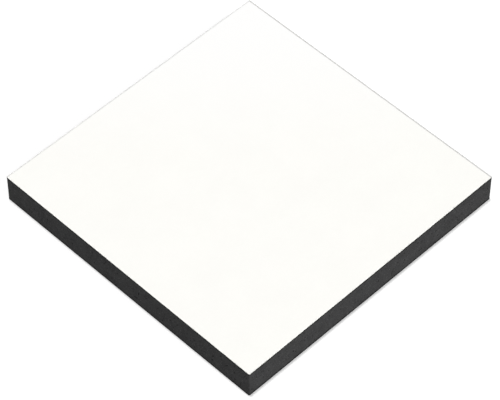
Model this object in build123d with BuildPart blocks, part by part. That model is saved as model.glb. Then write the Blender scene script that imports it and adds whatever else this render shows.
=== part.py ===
"""A square piece of paper-faced drywall sheet, cut square on all four sides.

A dark gypsum core is bonded between a white face paper and a natural grey back paper.
Millimetres, +Z up, face paper on top. The origin is the centre of the underside.
"""

import os

from build123d import *

# Driving dimensions of the piece
sheet_length = 127.0  # along X, five inches
sheet_width = 127.0  # along Y
sheet_thickness = 12.7  # over both papers, half an inch
face_paper_thickness = 0.35
back_paper_thickness = 0.35

# Softening that a knife cut leaves on the sheet
corner_radius = 0.5  # the four upright corners
paper_arris_radius = 0.2  # the outer rim of each paper

# Heights at which one layer seats on the next
core_underside = back_paper_thickness
core_top = sheet_thickness - face_paper_thickness
core_thickness = core_top - core_underside

# Back paper: unbleached liner under the core, its lower rim softened
with BuildPart() as back_paper:
    with BuildSketch():
        RectangleRounded(sheet_length, sheet_width, corner_radius)
    extrude(amount=back_paper_thickness)
    fillet(back_paper.edges().group_by(Axis.Z)[0], radius=paper_arris_radius)
back_paper.part.label = "back_paper"

# Gypsum core: set between the papers, bare on its four cut sides
with BuildPart() as gypsum_core:
    with BuildSketch(Plane.XY.offset(core_underside)):
        RectangleRounded(sheet_length, sheet_width, corner_radius)
    extrude(amount=core_thickness)
gypsum_core.part.label = "gypsum_core"

# Face paper: white liner on top of the core, its upper rim softened
with BuildPart() as face_paper:
    with BuildSketch(Plane.XY.offset(core_top)):
        RectangleRounded(sheet_length, sheet_width, corner_radius)
    extrude(amount=face_paper_thickness)
    fillet(face_paper.edges().group_by(Axis.Z)[-1], radius=paper_arris_radius)
face_paper.part.label = "face_paper"

# Each layer is written as a node of its own
os.makedirs("parts", exist_ok=True)
for layer in (back_paper, gypsum_core, face_paper):
    export_step(layer.part, f"parts/{layer.part.label}.step")
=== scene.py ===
"""A square of paper-faced drywall sheet, lying flat with its white face paper up.

Metres, +Z up, origin at the centre of the underside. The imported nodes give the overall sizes,
and each layer's finer sizes stand in its own section. The layers come in the order in which
they are put together: the face paper, the core that is cast on it, and the back paper.
"""

import math
import random

import bpy
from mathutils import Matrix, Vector, noise
from mathutils.geometry import delaunay_2d_cdt


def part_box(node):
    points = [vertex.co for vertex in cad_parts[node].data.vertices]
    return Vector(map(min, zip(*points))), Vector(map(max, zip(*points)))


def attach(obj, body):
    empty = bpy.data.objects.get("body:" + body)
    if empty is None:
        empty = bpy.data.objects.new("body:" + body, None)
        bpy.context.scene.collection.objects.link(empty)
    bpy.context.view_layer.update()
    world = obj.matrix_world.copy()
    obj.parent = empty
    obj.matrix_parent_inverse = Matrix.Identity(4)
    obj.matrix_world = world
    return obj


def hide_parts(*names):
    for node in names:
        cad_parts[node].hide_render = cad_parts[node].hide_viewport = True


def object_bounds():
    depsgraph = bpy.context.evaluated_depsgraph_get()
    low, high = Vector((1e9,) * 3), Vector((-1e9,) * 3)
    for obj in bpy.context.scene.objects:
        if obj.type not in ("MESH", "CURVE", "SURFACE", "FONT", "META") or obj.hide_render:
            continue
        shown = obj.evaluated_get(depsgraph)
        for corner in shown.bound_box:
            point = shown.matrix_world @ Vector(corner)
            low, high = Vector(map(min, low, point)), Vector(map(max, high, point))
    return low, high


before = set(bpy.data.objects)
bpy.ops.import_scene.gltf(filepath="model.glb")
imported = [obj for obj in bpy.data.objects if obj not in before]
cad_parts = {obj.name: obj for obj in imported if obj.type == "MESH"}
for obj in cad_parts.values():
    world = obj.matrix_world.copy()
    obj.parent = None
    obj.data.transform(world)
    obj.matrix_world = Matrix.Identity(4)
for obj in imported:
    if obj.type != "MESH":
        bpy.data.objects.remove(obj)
cad_low, cad_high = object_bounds()

# The face paper is the white liner that the room sees. It is pressed from several plies, of
# which only the top one is bleached, and the core is cast wet on its back. A grey band of
# painted shadow runs along two of its sides, darker along one, and the paper is painted
# lighter towards the far corner. The saw rubbed the core's dark dust into its cut edge.
face_low, face_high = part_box("face_paper")
half_side = face_high.x
side_directions = [Vector((1, 0)), Vector((0, 1)), Vector((-1, 0)), Vector((0, -1))]
corner_radius = 0.0005
corner_steps = 6
straight_half = half_side - corner_radius
outline_spacing = 0.001
arris_radius = 0.0002
arris_steps = 4
rim_band = 0.00015
saw_wander = 0.00003
saw_wander_length = 0.004
ripple_depth = 0.000015
ripple_length = 0.012
shown_spacing = 0.0025
bonded_spacing = 0.012
scatter = 0.25
merge_distance = 1e-7
crease_angle = math.radians(28)
map_margin = 0.004
shown_map_corner = (map_margin, map_margin)
shown_map_size = 0.88
bonded_map_corner = (0.892, 0.892)
bonded_map_size = 0.1

ivory_ply = (0.955, 0.949, 0.914, 1)
ivory_ply_shadow = (0.94, 0.933, 0.898, 1)
# Painted light: the paper grades to a whiter white towards the far corner.
painted_light_white = (0.955, 0.953, 0.945, 1)
painted_light_corner = (side_directions[1] + side_directions[2]).normalized()
painted_light_reach = 1.3 * half_side
fibre_grain = (0.0035, 0.00035, 0.00035)
fibre_angles = [5, 62, 118]
white_cloud_grain = (0.014, 0.014, 0.014)
white_tooth_range = (0.38, 0.62)
main_share = 0.6

# Painted shadow: a grey band along two sides of the face, darker along one.
painted_shadow_grey = (0.62, 0.615, 0.6, 1)
painted_shadow_sides = [(side_directions[1], 1.0), (side_directions[2], 0.45)]
painted_shadow_width = 0.0006
painted_shadow_softness = 0.00012
painted_shadow_raggedness = 0.00025
painted_shadow_grain = (0.0012, 0.0012, 0.0012)
core_dust = (0.014, 0.014, 0.014, 1)
clean_depth = 0.00003
dusty_depth = 0.000048


def on_corner(side, step):
    """A place on the round corner that follows a side, and the direction that faces out there."""
    outward = side_directions[side]
    along = side_directions[(side + 1) % 4]
    turn = math.pi / 2 * step / corner_steps
    direction = outward * math.cos(turn) + along * math.sin(turn)
    return (outward + along) * straight_half + direction * corner_radius, direction


def sheet_outline():
    """Places round the sheet's plan, anticlockwise, each with the direction that faces out."""
    outline = []
    steps = round(2 * straight_half / outline_spacing)
    for side, outward in enumerate(side_directions):
        along = side_directions[(side + 1) % 4]
        for step in range(steps):
            place = outward * half_side + along * straight_half * (2 * step / steps - 1)
            outline.append((place, outward))
        outline += [on_corner(side, step) for step in range(corner_steps)]
    return outline


def wave(place, length, seed):
    """A smooth wave from 0 to 1 over the plan, with bumps about this length apart."""
    return 0.5 + 0.5 * noise.noise(Vector((place.x / length, place.y / length, seed)))


def rim_profile(thickness):
    """How far in from the sheet's side, and how deep, each ring of a paper's edge lies.

    The first two rings leave a narrow flat band, which keeps the arris's shading off the face.
    """
    profile = [(arris_radius + rim_band, 0)]
    for step in range(arris_steps + 1):
        turn = math.pi / 2 * step / arris_steps
        profile.append((arris_radius * (1 - math.sin(turn)), arris_radius * (1 - math.cos(turn))))
    profile.append((0, thickness))
    return profile


def fill_loop(points, loop, spacing, dice, height_at):
    """The faces that close a loop of points, over loose points which it adds inside the loop."""
    reach = half_side - spacing
    steps = round(2 * reach / spacing)
    pitch = 2 * reach / steps
    loose = []
    for row in range(steps + 1):
        for column in range(steps + 1):
            nudge = Vector([dice.uniform(-scatter, scatter) for _ in range(2)])
            loose.append((Vector((column, row)) + nudge) * pitch - Vector((reach, reach)))
    ring = [points[i].xy for i in loop]
    rim = list(range(len(loop)))
    triangles = delaunay_2d_cdt(ring + loose, [], [rim], 1, merge_distance)[2]
    corners = loop + list(range(len(points), len(points) + len(loose)))
    points += [Vector((*place, height_at(place))) for place in loose]
    return [[corners[i] for i in triangle] for triangle in triangles]


def turned_over(faces):
    """The same faces, looking the other way."""
    return [face[::-1] for face in faces]


def on_map(place, half, corner, size):
    """Where a place in a square of this half side lies in a square part of the bake map."""
    return [start + size * (number / half + 1) / 2 for start, number in zip(corner, place)]


def make_piece(name, points, faces, map_corners, finish):
    """A mesh object in this finish, with its crisp edges kept and its own bake map."""
    mesh = bpy.data.meshes.new(name)
    mesh.from_pydata(points, [], faces)
    bake_map = mesh.uv_layers.new(name="OFBake")
    bake_map.uv.foreach_set("vector", [number for corner in map_corners for number in corner])
    mesh.shade_smooth()
    mesh.set_sharp_from_angle(angle=crease_angle)
    mesh.materials.append(finish)
    piece = bpy.data.objects.new(name, mesh)
    bpy.context.scene.collection.objects.link(piece)
    return piece


def make_paper(name, shown_height, bonded_height, seed, finish):
    """A paper layer: its shown side is rounded at the rim, its bonded side lies on the core."""
    dice = random.Random(seed)
    outline = sheet_outline()
    count = len(outline)
    thickness = abs(shown_height - bonded_height)
    inward = (bonded_height - shown_height) / thickness
    profile = rim_profile(thickness)

    # Rings of points from the shown side over the arris to the core, and where each lies flat
    points = []
    flat_places = []
    unrolled = 0
    for level, (inset, depth) in enumerate(profile):
        if level:
            unrolled += math.dist(profile[level - 1], profile[level])
        for place, outward in outline:
            wander = saw_wander * wave(place, saw_wander_length, seed)
            plan = place - outward * (inset + wander)
            points.append(Vector((*plan, shown_height + inward * depth)))
            flat_places.append(place - outward * (profile[0][0] - unrolled))
    shown_faces = []
    for here in range(0, len(points) - count, count):
        below = here + count
        for step in range(count):
            after = (step + 1) % count
            shown_faces.append((here + step, below + step, below + after, here + after))

    # The press leaves the shown side rippled a little, and the bonded side is flat
    def pressed_height(place):
        return shown_height + inward * ripple_depth * wave(place, ripple_length, seed)

    shown_loop = list(range(count))
    shown_faces += fill_loop(points, shown_loop, shown_spacing, dice, pressed_height)
    flat_places += [point.xy for point in points[len(flat_places) :]]
    bonded_loop = list(range((len(profile) - 1) * count, len(profile) * count))
    bonded_faces = fill_loop(points, bonded_loop, bonded_spacing, dice, lambda place: bonded_height)
    if inward < 0:
        bonded_faces = turned_over(bonded_faces)
    else:
        shown_faces = turned_over(shown_faces)

    # The shown side takes most of the bake map, and the bonded side a small corner of it
    flat_half = half_side - profile[0][0] + unrolled
    map_corners = []
    for face in shown_faces:
        map_corners += [on_map(flat_places[i], flat_half, shown_map_corner, shown_map_size) for i in face]
    for face in bonded_faces:
        map_corners += [on_map(points[i].xy, half_side, bonded_map_corner, bonded_map_size) for i in face]
    return make_piece(name, points, shown_faces + bonded_faces, map_corners, finish)


def new_finish(name):
    """A material, with its node tree, its shader and the object's own coordinates."""
    finish = bpy.data.materials.new(name)
    finish.use_nodes = True
    tree = finish.node_tree
    shader = tree.nodes["Principled BSDF"]
    where = tree.nodes.new("ShaderNodeTexCoord").outputs["Object"]
    return finish, tree, shader, where


def add(tree, kind, sockets, **settings):
    """A node with these settings. A socket takes a number, a colour or another node's output."""
    node = tree.nodes.new(kind)
    for setting, value in settings.items():
        setattr(node, setting, value)
    for socket, value in sockets.items():
        if isinstance(value, bpy.types.NodeSocket):
            tree.links.new(value, node.inputs[socket])
        else:
            node.inputs[socket].default_value = value
    return node


def grain(tree, where, size, detail, turn=0):
    """Noise from 0 to 1 whose grains are this long, wide and high, turned in the plan."""
    sockets = {"Vector": where, "Rotation": (0, 0, math.radians(turn)), "Scale": size}
    stretched = add(tree, "ShaderNodeMapping", sockets, vector_type="TEXTURE")
    sockets = {"Vector": stretched.outputs["Vector"], "Scale": 1, "Detail": detail}
    return add(tree, "ShaderNodeTexNoise", sockets).outputs["Fac"]


def maths(tree, operation, first, second=0.0):
    """The result of one sum on values that vary over the surface."""
    return add(tree, "ShaderNodeMath", {0: first, 1: second}, operation=operation).outputs[0]


def swing(tree, value, width):
    """A value from 0 to 1 as a shift of up to half this width either way."""
    return maths(tree, "MULTIPLY", maths(tree, "SUBTRACT", value, 0.5), width)


def mostly(tree, main, other):
    """A blend of two values, the larger share from the first."""
    larger = maths(tree, "MULTIPLY", main, main_share)
    smaller = maths(tree, "MULTIPLY", other, 1 - main_share)
    return maths(tree, "ADD", larger, smaller)


def step_up(tree, value, start, end):
    """0 where the value is under start and 1 where it is over end, smooth between them."""
    sockets = {"Value": value, "From Min": start, "From Max": end}
    node = add(tree, "ShaderNodeMapRange", sockets, interpolation_type="SMOOTHSTEP")
    return node.outputs["Result"]


def blend_colours(tree, share, first, second):
    """The first colour where share is 0 and the second where it is 1."""
    node = add(tree, "ShaderNodeMix", {}, data_type="RGBA")
    sockets = [socket for socket in node.inputs if socket.enabled]
    for socket, value in zip(sockets, (share, first, second)):
        if isinstance(value, bpy.types.NodeSocket):
            tree.links.new(value, socket)
        else:
            socket.default_value = value
    return next(socket for socket in node.outputs if socket.enabled)


def along_plan(tree, where, direction):
    """How far each place lies from the sheet's middle in this direction of the plan."""
    sockets = {0: where, 1: (direction.x, direction.y, 0)}
    return add(tree, "ShaderNodeVectorMath", sockets, operation="DOT_PRODUCT").outputs["Value"]


def height_of(tree, where):
    """How high each place lies above the floor."""
    return add(tree, "ShaderNodeSeparateXYZ", {"Vector": where}).outputs["Z"]


def fibre_mat(tree, where):
    """Paper fibres that lie in three directions, from 0 to 1."""
    layers = [grain(tree, where, fibre_grain, detail=2, turn=angle) for angle in fibre_angles]
    total = maths(tree, "ADD", maths(tree, "ADD", layers[0], layers[1]), layers[2])
    return maths(tree, "DIVIDE", total, float(len(fibre_angles)))


def painted_shadow_rim(tree, where):
    """How much painted shadow the paper gets: a ragged band along each shadowed side, and 0 elsewhere."""
    ragged = swing(tree, grain(tree, where, painted_shadow_grain, detail=3), painted_shadow_raggedness)
    inner_edge = half_side - arris_radius / 2 - painted_shadow_width
    painted_shade = None
    for direction, strength in painted_shadow_sides:
        outward = maths(tree, "ADD", along_plan(tree, where, direction), ragged)
        band = step_up(tree, outward, inner_edge - painted_shadow_softness, inner_edge + painted_shadow_softness)
        band = maths(tree, "MULTIPLY", band, strength)
        painted_shade = band if painted_shade is None else maths(tree, "MAXIMUM", painted_shade, band)
    return painted_shade


def dusty_rim(tree, where, shown_height):
    """1 on a paper's cut edge, where the core's dust sits, and 0 on its shown side."""
    depth = maths(tree, "ABSOLUTE", maths(tree, "SUBTRACT", height_of(tree, where), shown_height))
    return step_up(tree, depth, clean_depth, dusty_depth)


def dress(tree, shader, colour, relief, relief_depth, relief_share, roughness, gloss):
    """Gives a shader its colour, its fine relief, its roughness and its gloss."""
    sockets = {"Height": relief, "Distance": relief_depth, "Strength": relief_share}
    bump = add(tree, "ShaderNodeBump", sockets)
    tree.links.new(colour, shader.inputs["Base Color"])
    tree.links.new(bump.outputs["Normal"], shader.inputs["Normal"])
    shader.inputs["Roughness"].default_value = roughness
    shader.inputs["Specular IOR Level"].default_value = gloss


def white_liner():
    """White paper, clouded and fibrous, ivory over most of the sheet and dusty at its cut edge.

    It is painted lighter towards the far corner, and a band of painted shadow runs along two sides.
    """
    finish, tree, shader, where = new_finish("white_liner")
    fibres = fibre_mat(tree, where)
    tooth = mostly(tree, fibres, grain(tree, where, white_cloud_grain, detail=3))
    colour = blend_colours(tree, step_up(tree, tooth, *white_tooth_range), ivory_ply_shadow, ivory_ply)
    # Painted light: whiter towards the far corner.
    towards_lit_corner = along_plan(tree, where, painted_light_corner)
    colour = blend_colours(tree, step_up(tree, towards_lit_corner, 0, painted_light_reach), colour, painted_light_white)
    # Painted shadow: the grey band along two sides.
    colour = blend_colours(tree, painted_shadow_rim(tree, where), colour, painted_shadow_grey)
    colour = blend_colours(tree, dusty_rim(tree, where, face_high.z), colour, core_dust)
    dress(tree, shader, colour, fibres, relief_depth=0.00002, relief_share=0.5, roughness=0.72, gloss=0.3)
    return finish


face_liner = make_paper("face_liner", face_high.z, face_low.z, 1, white_liner())
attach(face_liner, "root")
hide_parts("face_paper")

# The core is gypsum, foamed with soap suds and darkened with graphite, and cast between the
# papers. A saw cut it square on all four sides, which opens its air bubbles as round pits.
# Beside the papers it sets dense and dark, with fewer bubbles.
core_low, core_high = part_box("gypsum_core")
core_recess = 0.00004
core_waviness = 0.00003
core_wave_length = 0.005
rise_steps = 9
rise = (core_high.z - core_low.z) / rise_steps
edge_step = 0.0015
across_steps = round(2 * straight_half / edge_step)
loose_per_side = 420
loose_border_gap = 0.0006
loose_rim_gap = 0.0003
side_seed = 20
bonded_seed = 30

bubble_gap = 0.00006
shallow_share = 0.4
deep_share = 0.95
dense_layer = 0.0012
dense_layer_miss_chance = 0.5
bubble_kinds = [
    {"count": 46, "smallest": 0.0003, "largest": 0.00045, "rim": 14, "rings": 3},
    {"count": 280, "smallest": 0.00017, "largest": 0.0003, "rim": 10, "rings": 2},
    {"count": 480, "smallest": 0.0001, "largest": 0.00017, "rim": 8, "rings": 1},
]

strip_scale = 9.8
strip_pitch = 0.124
strip_overlap = 0.0015
top_map_corner = (0.67, map_margin)
bottom_map_corner = (0.67, 0.34)
flat_map_size = 0.32

charcoal_dark = (0.0395, 0.0395, 0.04, 1)
charcoal_light = (0.0565, 0.0565, 0.057, 1)
shade_range = (0.35, 0.65)
fine_grain = (0.00022, 0.00022, 0.00022)
blotch_grain = (0.004, 0.004, 0.004)
saw_mark_grain = (0.00035, 0.00035, 0.009)
dense_skin_black = (0.013, 0.013, 0.0132, 1)
dense_skin = 0.0005
dense_skin_softness = 0.0002
dense_skin_wander = 0.0004
crystal_grey = (0.12, 0.12, 0.118, 1)
crystal_grain = (0.0003, 0.0003, 0.0003)
crystal_range = (0.74, 0.8)


def side_border():
    """Places round one side of the core: along the bottom, up, back along the top and down."""
    across = [straight_half * (2 * step / across_steps - 1) for step in range(across_steps)]
    border = [Vector((place, core_low.z)) for place in across]
    border += [Vector((straight_half, core_low.z + rise * step)) for step in range(rise_steps)]
    border += [Vector((-place, core_high.z)) for place in across]
    border += [Vector((-straight_half, core_high.z - rise * step)) for step in range(rise_steps)]
    return border


def border_rows():
    """Which places of the border are its bottom and top rows and its left and right columns."""
    top_start = across_steps + rise_steps
    count = 2 * top_start
    bottom = list(range(across_steps + 1))
    right = list(range(across_steps, top_start + 1))
    top = list(range(top_start + across_steps, top_start - 1, -1))
    left = [(count - level) % count for level in range(rise_steps + 1)]
    return bottom, right, top, left


def open_bubbles(dice):
    """Bubbles that the cut opens on one side, the largest first, none touching another."""
    bubbles = []
    for kind in bubble_kinds:
        placed = 0
        while placed < kind["count"]:
            radius = dice.uniform(kind["smallest"], kind["largest"])
            along = dice.uniform(-1, 1) * (straight_half - radius - bubble_gap)
            height = dice.uniform(core_low.z + radius + bubble_gap, core_high.z - radius - bubble_gap)
            to_paper = min(height - core_low.z, core_high.z - height)
            if to_paper < dense_layer and dice.random() < dense_layer_miss_chance:
                continue
            place = Vector((along, height))
            if any((place - b["place"]).length < radius + b["radius"] + bubble_gap for b in bubbles):
                continue
            depth = radius * dice.uniform(shallow_share, deep_share)
            bubbles.append({"place": place, "radius": radius, "depth": depth, "kind": kind})
            placed += 1
    for bubble in bubbles:
        bubble["start"] = dice.uniform(0, math.pi)
    return bubbles


def loose_places(bubbles, dice):
    """Places between a side's bubbles, which keep its faces even."""
    places = []
    while len(places) < loose_per_side:
        along = dice.uniform(-1, 1) * (straight_half - loose_border_gap)
        height = dice.uniform(core_low.z + loose_border_gap, core_high.z - loose_border_gap)
        place = Vector((along, height))
        if all((place - b["place"]).length > b["radius"] + loose_rim_gap for b in bubbles):
            places.append(place)
    return places


def bubble_ring(bubble, share):
    """Places round a bubble's middle, at this share of its radius."""
    count = bubble["kind"]["rim"]
    places = []
    for step in range(count):
        turn = bubble["start"] + 2 * math.pi * step / count
        round_it = Vector((math.cos(turn), math.sin(turn)))
        places.append(bubble["place"] + round_it * bubble["radius"] * share)
    return places


def bubble_depth(bubble, share):
    """How deep a bubble's ball-shaped wall lies at this share of its radius."""
    radius = bubble["radius"]
    depth = bubble["depth"]
    ball = (radius**2 + depth**2) / (2 * depth)
    return math.sqrt(ball**2 - (share * radius) ** 2) - (ball - depth)


def sink_bubble(bubble, rim, places, depths, faces):
    """Adds a bubble's wall to its side, ring by ring from the rim to the middle of its floor."""
    rings = bubble["kind"]["rings"]
    count = len(rim)
    outer = rim
    for ring in range(1, rings + 1):
        share = math.cos(math.pi / 2 * ring / (rings + 1))
        inner = list(range(len(places), len(places) + count))
        places += bubble_ring(bubble, share)
        depths += [bubble_depth(bubble, share)] * count
        for step in range(count):
            after = (step + 1) % count
            faces.append((outer[step], outer[after], inner[after], inner[step]))
        outer = inner
    middle = len(places)
    places.append(bubble["place"])
    depths.append(bubble["depth"])
    for step in range(count):
        faces.append((outer[step], outer[(step + 1) % count], middle))


def cut_side(dice):
    """One side laid flat: its places, how deep each lies under the cut, and its faces."""
    places = side_border()
    outlines = [list(range(len(places)))]
    bubbles = open_bubbles(dice)
    for bubble in bubbles:
        ring = bubble_ring(bubble, 1)
        outlines.append(list(range(len(places), len(places) + len(ring))))
        places += ring
    places += loose_places(bubbles, dice)
    depths = [0] * len(places)

    # Triangles that lie in the border's outline alone, number 0, are outside every bubble
    _, _, triangles, _, _, inside = delaunay_2d_cdt(places, [], outlines, 1, merge_distance)
    faces = [triangle for triangle, owners in zip(triangles, inside) if max(owners) == 0]
    for bubble, rim in zip(bubbles, outlines[1:]):
        sink_bubble(bubble, rim, places, depths, faces)
    return places, depths, faces


def on_cut(plan, outward, height, depth):
    """A point on the core's cut, sunk under the sheet's outline by the saw's waves and a pit."""
    waves = core_waviness * (0.5 + 0.5 * noise.noise(Vector((*plan, height)) / core_wave_length))
    return Vector((*(plan - outward * (core_recess + waves + depth)), height))


def on_strip(side, places):
    """Where a face of a side lies on the bake map, where each half of a side is a strip."""
    right_half = sum(place.x for place in places) > 0
    strip = 2 * side + right_half
    start = -strip_overlap if right_half else -straight_half
    found = []
    for place in places:
        across = map_margin + (place.x - start) * strip_scale
        up = map_margin + strip * strip_pitch + (place.y - core_low.z) * strip_scale
        found.append((across, up))
    return found


def add_side(side, points, faces, map_corners):
    """Adds a pitted side to the core, and returns its bottom, right, top and left points."""
    outward = side_directions[side]
    along = side_directions[(side + 1) % 4]
    places, depths, side_faces = cut_side(random.Random(side_seed + side))
    first = len(points)
    for place, depth in zip(places, depths):
        plan = outward * half_side + along * place.x
        points.append(on_cut(plan, outward, place.y, depth))
    for face in side_faces:
        faces.append([first + i for i in face])
        map_corners += on_strip(side, [places[i] for i in face])
    return [[first + i for i in row] for row in border_rows()]


def add_corner(side, right, left, points, faces, map_corners):
    """Adds the plain round from a side to the next, and returns the columns of its new points."""
    heights = [core_low.z + rise * level for level in range(rise_steps + 1)]
    columns = [right]
    for step in range(1, corner_steps):
        plan, outward = on_corner(side, step)
        columns.append(list(range(len(points), len(points) + len(heights))))
        points += [on_cut(plan, outward, height, 0) for height in heights]
    columns.append(left)
    arc_step = corner_radius * math.pi / 2 / corner_steps
    unrolled = [straight_half + arc_step * step for step in range(corner_steps + 1)]
    for step in range(corner_steps):
        for level in range(rise_steps):
            quad = [(step, level), (step + 1, level), (step + 1, level + 1), (step, level + 1)]
            faces.append([columns[across][up] for across, up in quad])
            map_corners += on_strip(side, [Vector((unrolled[across], heights[up])) for across, up in quad])
    return columns[1:-1]


def make_core(name, finish):
    """The core as one closed mesh: pitted sides, round upright corners, flat top and bottom."""
    points = []
    faces = []
    map_corners = []
    sides = [add_side(side, points, faces, map_corners) for side in range(4)]
    bottom_loop = []
    top_loop = []
    for side, (bottom, right, top, _) in enumerate(sides):
        next_left = sides[(side + 1) % 4][3]
        columns = add_corner(side, right, next_left, points, faces, map_corners)
        bottom_loop += bottom + [column[0] for column in columns]
        top_loop += top + [column[-1] for column in columns]

    # The papers are bonded to the flat top and bottom
    dice = random.Random(bonded_seed)
    top_faces = fill_loop(points, top_loop, bonded_spacing, dice, lambda place: core_high.z)
    bottom_faces = fill_loop(points, bottom_loop, bonded_spacing, dice, lambda place: core_low.z)
    bottom_faces = turned_over(bottom_faces)
    for face in top_faces:
        map_corners += [on_map(points[i].xy, half_side, top_map_corner, flat_map_size) for i in face]
    for face in bottom_faces:
        map_corners += [on_map(points[i].xy, half_side, bottom_map_corner, flat_map_size) for i in face]
    return make_piece(name, points, faces + top_faces + bottom_faces, map_corners, finish)


def beside_paper(tree, where, blotches):
    """1 in the core's thin dense skin beside each paper, and 0 in its foamed middle."""
    height = height_of(tree, where)
    above_back = maths(tree, "SUBTRACT", height, core_low.z)
    below_face = maths(tree, "SUBTRACT", core_high.z, height)
    wander = swing(tree, blotches, dense_skin_wander)
    depth = maths(tree, "ADD", maths(tree, "MINIMUM", above_back, below_face), wander)
    foamed = step_up(tree, depth, dense_skin - dense_skin_softness, dense_skin + dense_skin_softness)
    return maths(tree, "SUBTRACT", 1.0, foamed)


def charcoal_gypsum():
    """Dark set gypsum: fine grain, soft blotches, upright saw marks and a few pale crystals."""
    finish, tree, shader, where = new_finish("charcoal_gypsum")
    fine = grain(tree, where, fine_grain, detail=3)
    blotches = grain(tree, where, blotch_grain, detail=2)
    shade = mostly(tree, fine, blotches)
    colour = blend_colours(tree, step_up(tree, shade, *shade_range), charcoal_dark, charcoal_light)
    colour = blend_colours(tree, beside_paper(tree, where, blotches), colour, dense_skin_black)
    crystals = step_up(tree, grain(tree, where, crystal_grain, detail=0), *crystal_range)
    colour = blend_colours(tree, crystals, colour, crystal_grey)
    relief = maths(tree, "ADD", fine, grain(tree, where, saw_mark_grain, detail=1))
    dress(tree, shader, colour, relief, relief_depth=0.00003, relief_share=0.6, roughness=0.9, gloss=0.1)
    return finish


foamed_core = make_core("foamed_core", charcoal_gypsum())
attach(foamed_core, "root")
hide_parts("gypsum_core")

# The back paper is an unbleached liner of pulped newsprint and board, grey-brown with flecks of
# what it was made from. It is laid on the wet core last, and closes the sandwich.
back_low, back_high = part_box("back_paper")
newsprint = (0.30, 0.275, 0.235, 1)
newsprint_dark = (0.235, 0.214, 0.18, 1)
newsprint_cloud_grain = (0.01, 0.01, 0.01)
newsprint_tooth_range = (0.36, 0.64)
dark_fleck = (0.08, 0.073, 0.065, 1)
pale_fleck = (0.52, 0.49, 0.43, 1)
fleck_angles = [(dark_fleck, 20), (pale_fleck, 75)]
fleck_grain = (0.0009, 0.0003, 0.0003)
fleck_range = (0.72, 0.8)


def newsprint_liner():
    """Grey-brown paper with fibres, clouds and short dark and pale flecks."""
    finish, tree, shader, where = new_finish("newsprint_liner")
    fibres = fibre_mat(tree, where)
    tooth = mostly(tree, fibres, grain(tree, where, newsprint_cloud_grain, detail=3))
    colour = blend_colours(tree, step_up(tree, tooth, *newsprint_tooth_range), newsprint_dark, newsprint)
    for fleck, angle in fleck_angles:
        flecks = step_up(tree, grain(tree, where, fleck_grain, detail=0, turn=angle), *fleck_range)
        colour = blend_colours(tree, flecks, colour, fleck)
    colour = blend_colours(tree, dusty_rim(tree, where, back_low.z), colour, core_dust)
    dress(tree, shader, colour, fibres, relief_depth=0.00003, relief_share=0.7, roughness=0.85, gloss=0.2)
    return finish


back_liner = make_paper("back_liner", back_low.z, back_high.z, 2, newsprint_liner())
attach(back_liner, "root")
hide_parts("back_paper")

# The floor is a plain matt white surface, level with the board's underside. What the camera
# sees of it is lifted to white, so that only the tight shadow beside the board shows.
floor_reach = 3.0
floor_corner_signs = [(-1, -1), (1, -1), (1, 1), (-1, 1)]
floor_white = (0.78, 0.78, 0.78, 1)
floor_lift = 0.34


def seen_directly(tree):
    """1 for what the camera, a reflection or a clear piece sees, and 0 for other light."""
    path = add(tree, "ShaderNodeLightPath", {})
    seen = maths(tree, "MAXIMUM", path.outputs["Is Camera Ray"], path.outputs["Is Glossy Ray"])
    return maths(tree, "MAXIMUM", seen, path.outputs["Is Transmission Ray"])


def studio_white():
    """A matt white that takes shadows, and glows a little where it is seen directly."""
    finish = bpy.data.materials.new("studio_floor")
    finish.use_nodes = True
    tree = finish.node_tree
    tree.nodes.remove(tree.nodes["Principled BSDF"])
    lift = maths(tree, "MULTIPLY", seen_directly(tree), floor_lift)
    glow = add(tree, "ShaderNodeEmission", {"Strength": lift})
    matt = add(tree, "ShaderNodeBsdfDiffuse", {"Color": floor_white})
    both = add(tree, "ShaderNodeAddShader", {0: glow.outputs[0], 1: matt.outputs[0]})
    tree.links.new(both.outputs[0], tree.nodes["Material Output"].inputs["Surface"])
    return finish


floor_mesh = bpy.data.meshes.new("studio_floor")
floor_corners = [(x * floor_reach, y * floor_reach, cad_low.z) for x, y in floor_corner_signs]
floor_mesh.from_pydata(floor_corners, [], [(0, 1, 2, 3)])
floor_mesh.materials.append(studio_white())
floor = bpy.data.objects.new("studio_floor", floor_mesh)
bpy.context.scene.collection.objects.link(floor)

# The studio light is a key lamp high over the board, a wide soft fill from one side, and an even
# white room all round. The key draws the narrow shadow along the two near sides.
shadow_reach = Vector((0.00075, -0.00012))
key_light = 0.68
key_spread = 6
fill_light = 0.46
fill_rise = math.radians(20)
fill_turn = math.radians(10)
fill_spread = 40
room_light = 0.2
room_white = (1, 1, 1, 1)


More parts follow.
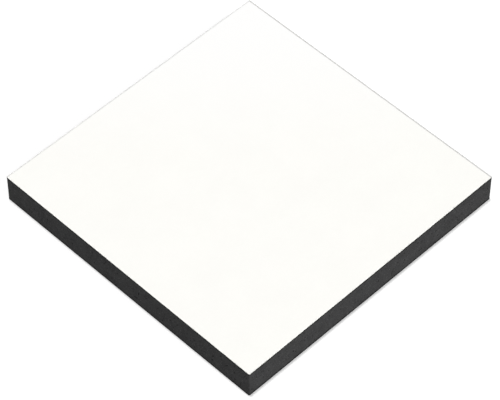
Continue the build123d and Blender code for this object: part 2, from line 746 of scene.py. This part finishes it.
def add_lamp(name, toward, light, spread):
    """A far lamp in this direction, which lights a surface facing it by this much of white."""
    lamp = bpy.data.lights.new(name, "SUN")
    lamp.energy = light * math.pi
    lamp.angle = math.radians(spread)
    holder = bpy.data.objects.new(name, lamp)
    holder.rotation_mode = "QUATERNION"
    holder.rotation_quaternion = toward.to_track_quat("Z", "Y")
    bpy.context.scene.collection.objects.link(holder)


def raised(level, rise_angle):
    """A level direction, tilted up by this angle."""
    return level * math.cos(rise_angle) + Vector((0, 0, math.sin(rise_angle)))


sheet_thickness = cad_high.z - cad_low.z
add_lamp("key_lamp", Vector((*-shadow_reach, sheet_thickness)), key_light, key_spread)
fill_level = Vector((math.cos(fill_turn), math.sin(fill_turn), 0))
add_lamp("fill_lamp", raised(fill_level, fill_rise), fill_light, fill_spread)

room = bpy.data.worlds.new("white_room")
bpy.context.scene.world = room
room.use_nodes = True
room_tree = room.node_tree
background = room_tree.nodes["Background"]
background.inputs["Color"].default_value = room_white
lift_to_white = maths(room_tree, "MULTIPLY", seen_directly(room_tree), 1 - room_light)
room_tree.links.new(maths(room_tree, "ADD", lift_to_white, room_light), background.inputs["Strength"])

# The camera looks down on one corner from well back with a long lens, which keeps the sheet's
# sides nearly parallel. Its aim lies on the face paper, between the centre and the near corner.
lens_length = 197.23
camera_distance = 1.0044
camera_rise = math.radians(50.79)
toward_camera = Vector((1, -1, 0)).normalized()
camera_right = Vector((1, 1, 0)).normalized()
aim_forward = 0.01102
aim_right = 0.00026

camera_data = bpy.data.cameras.new("camera")
camera_data.lens = lens_length
camera = bpy.data.objects.new("camera", camera_data)
bpy.context.scene.collection.objects.link(camera)
bpy.context.scene.camera = camera
aim = Vector((0, 0, cad_high.z)) + toward_camera * aim_forward + camera_right * aim_right
line_of_sight = raised(toward_camera, camera_rise)
camera.location = aim + line_of_sight * camera_distance
camera.rotation_mode = "QUATERNION"
camera.rotation_quaternion = line_of_sight.to_track_quat("Z", "Y")

bpy.context.scene.view_settings.view_transform = "Standard"
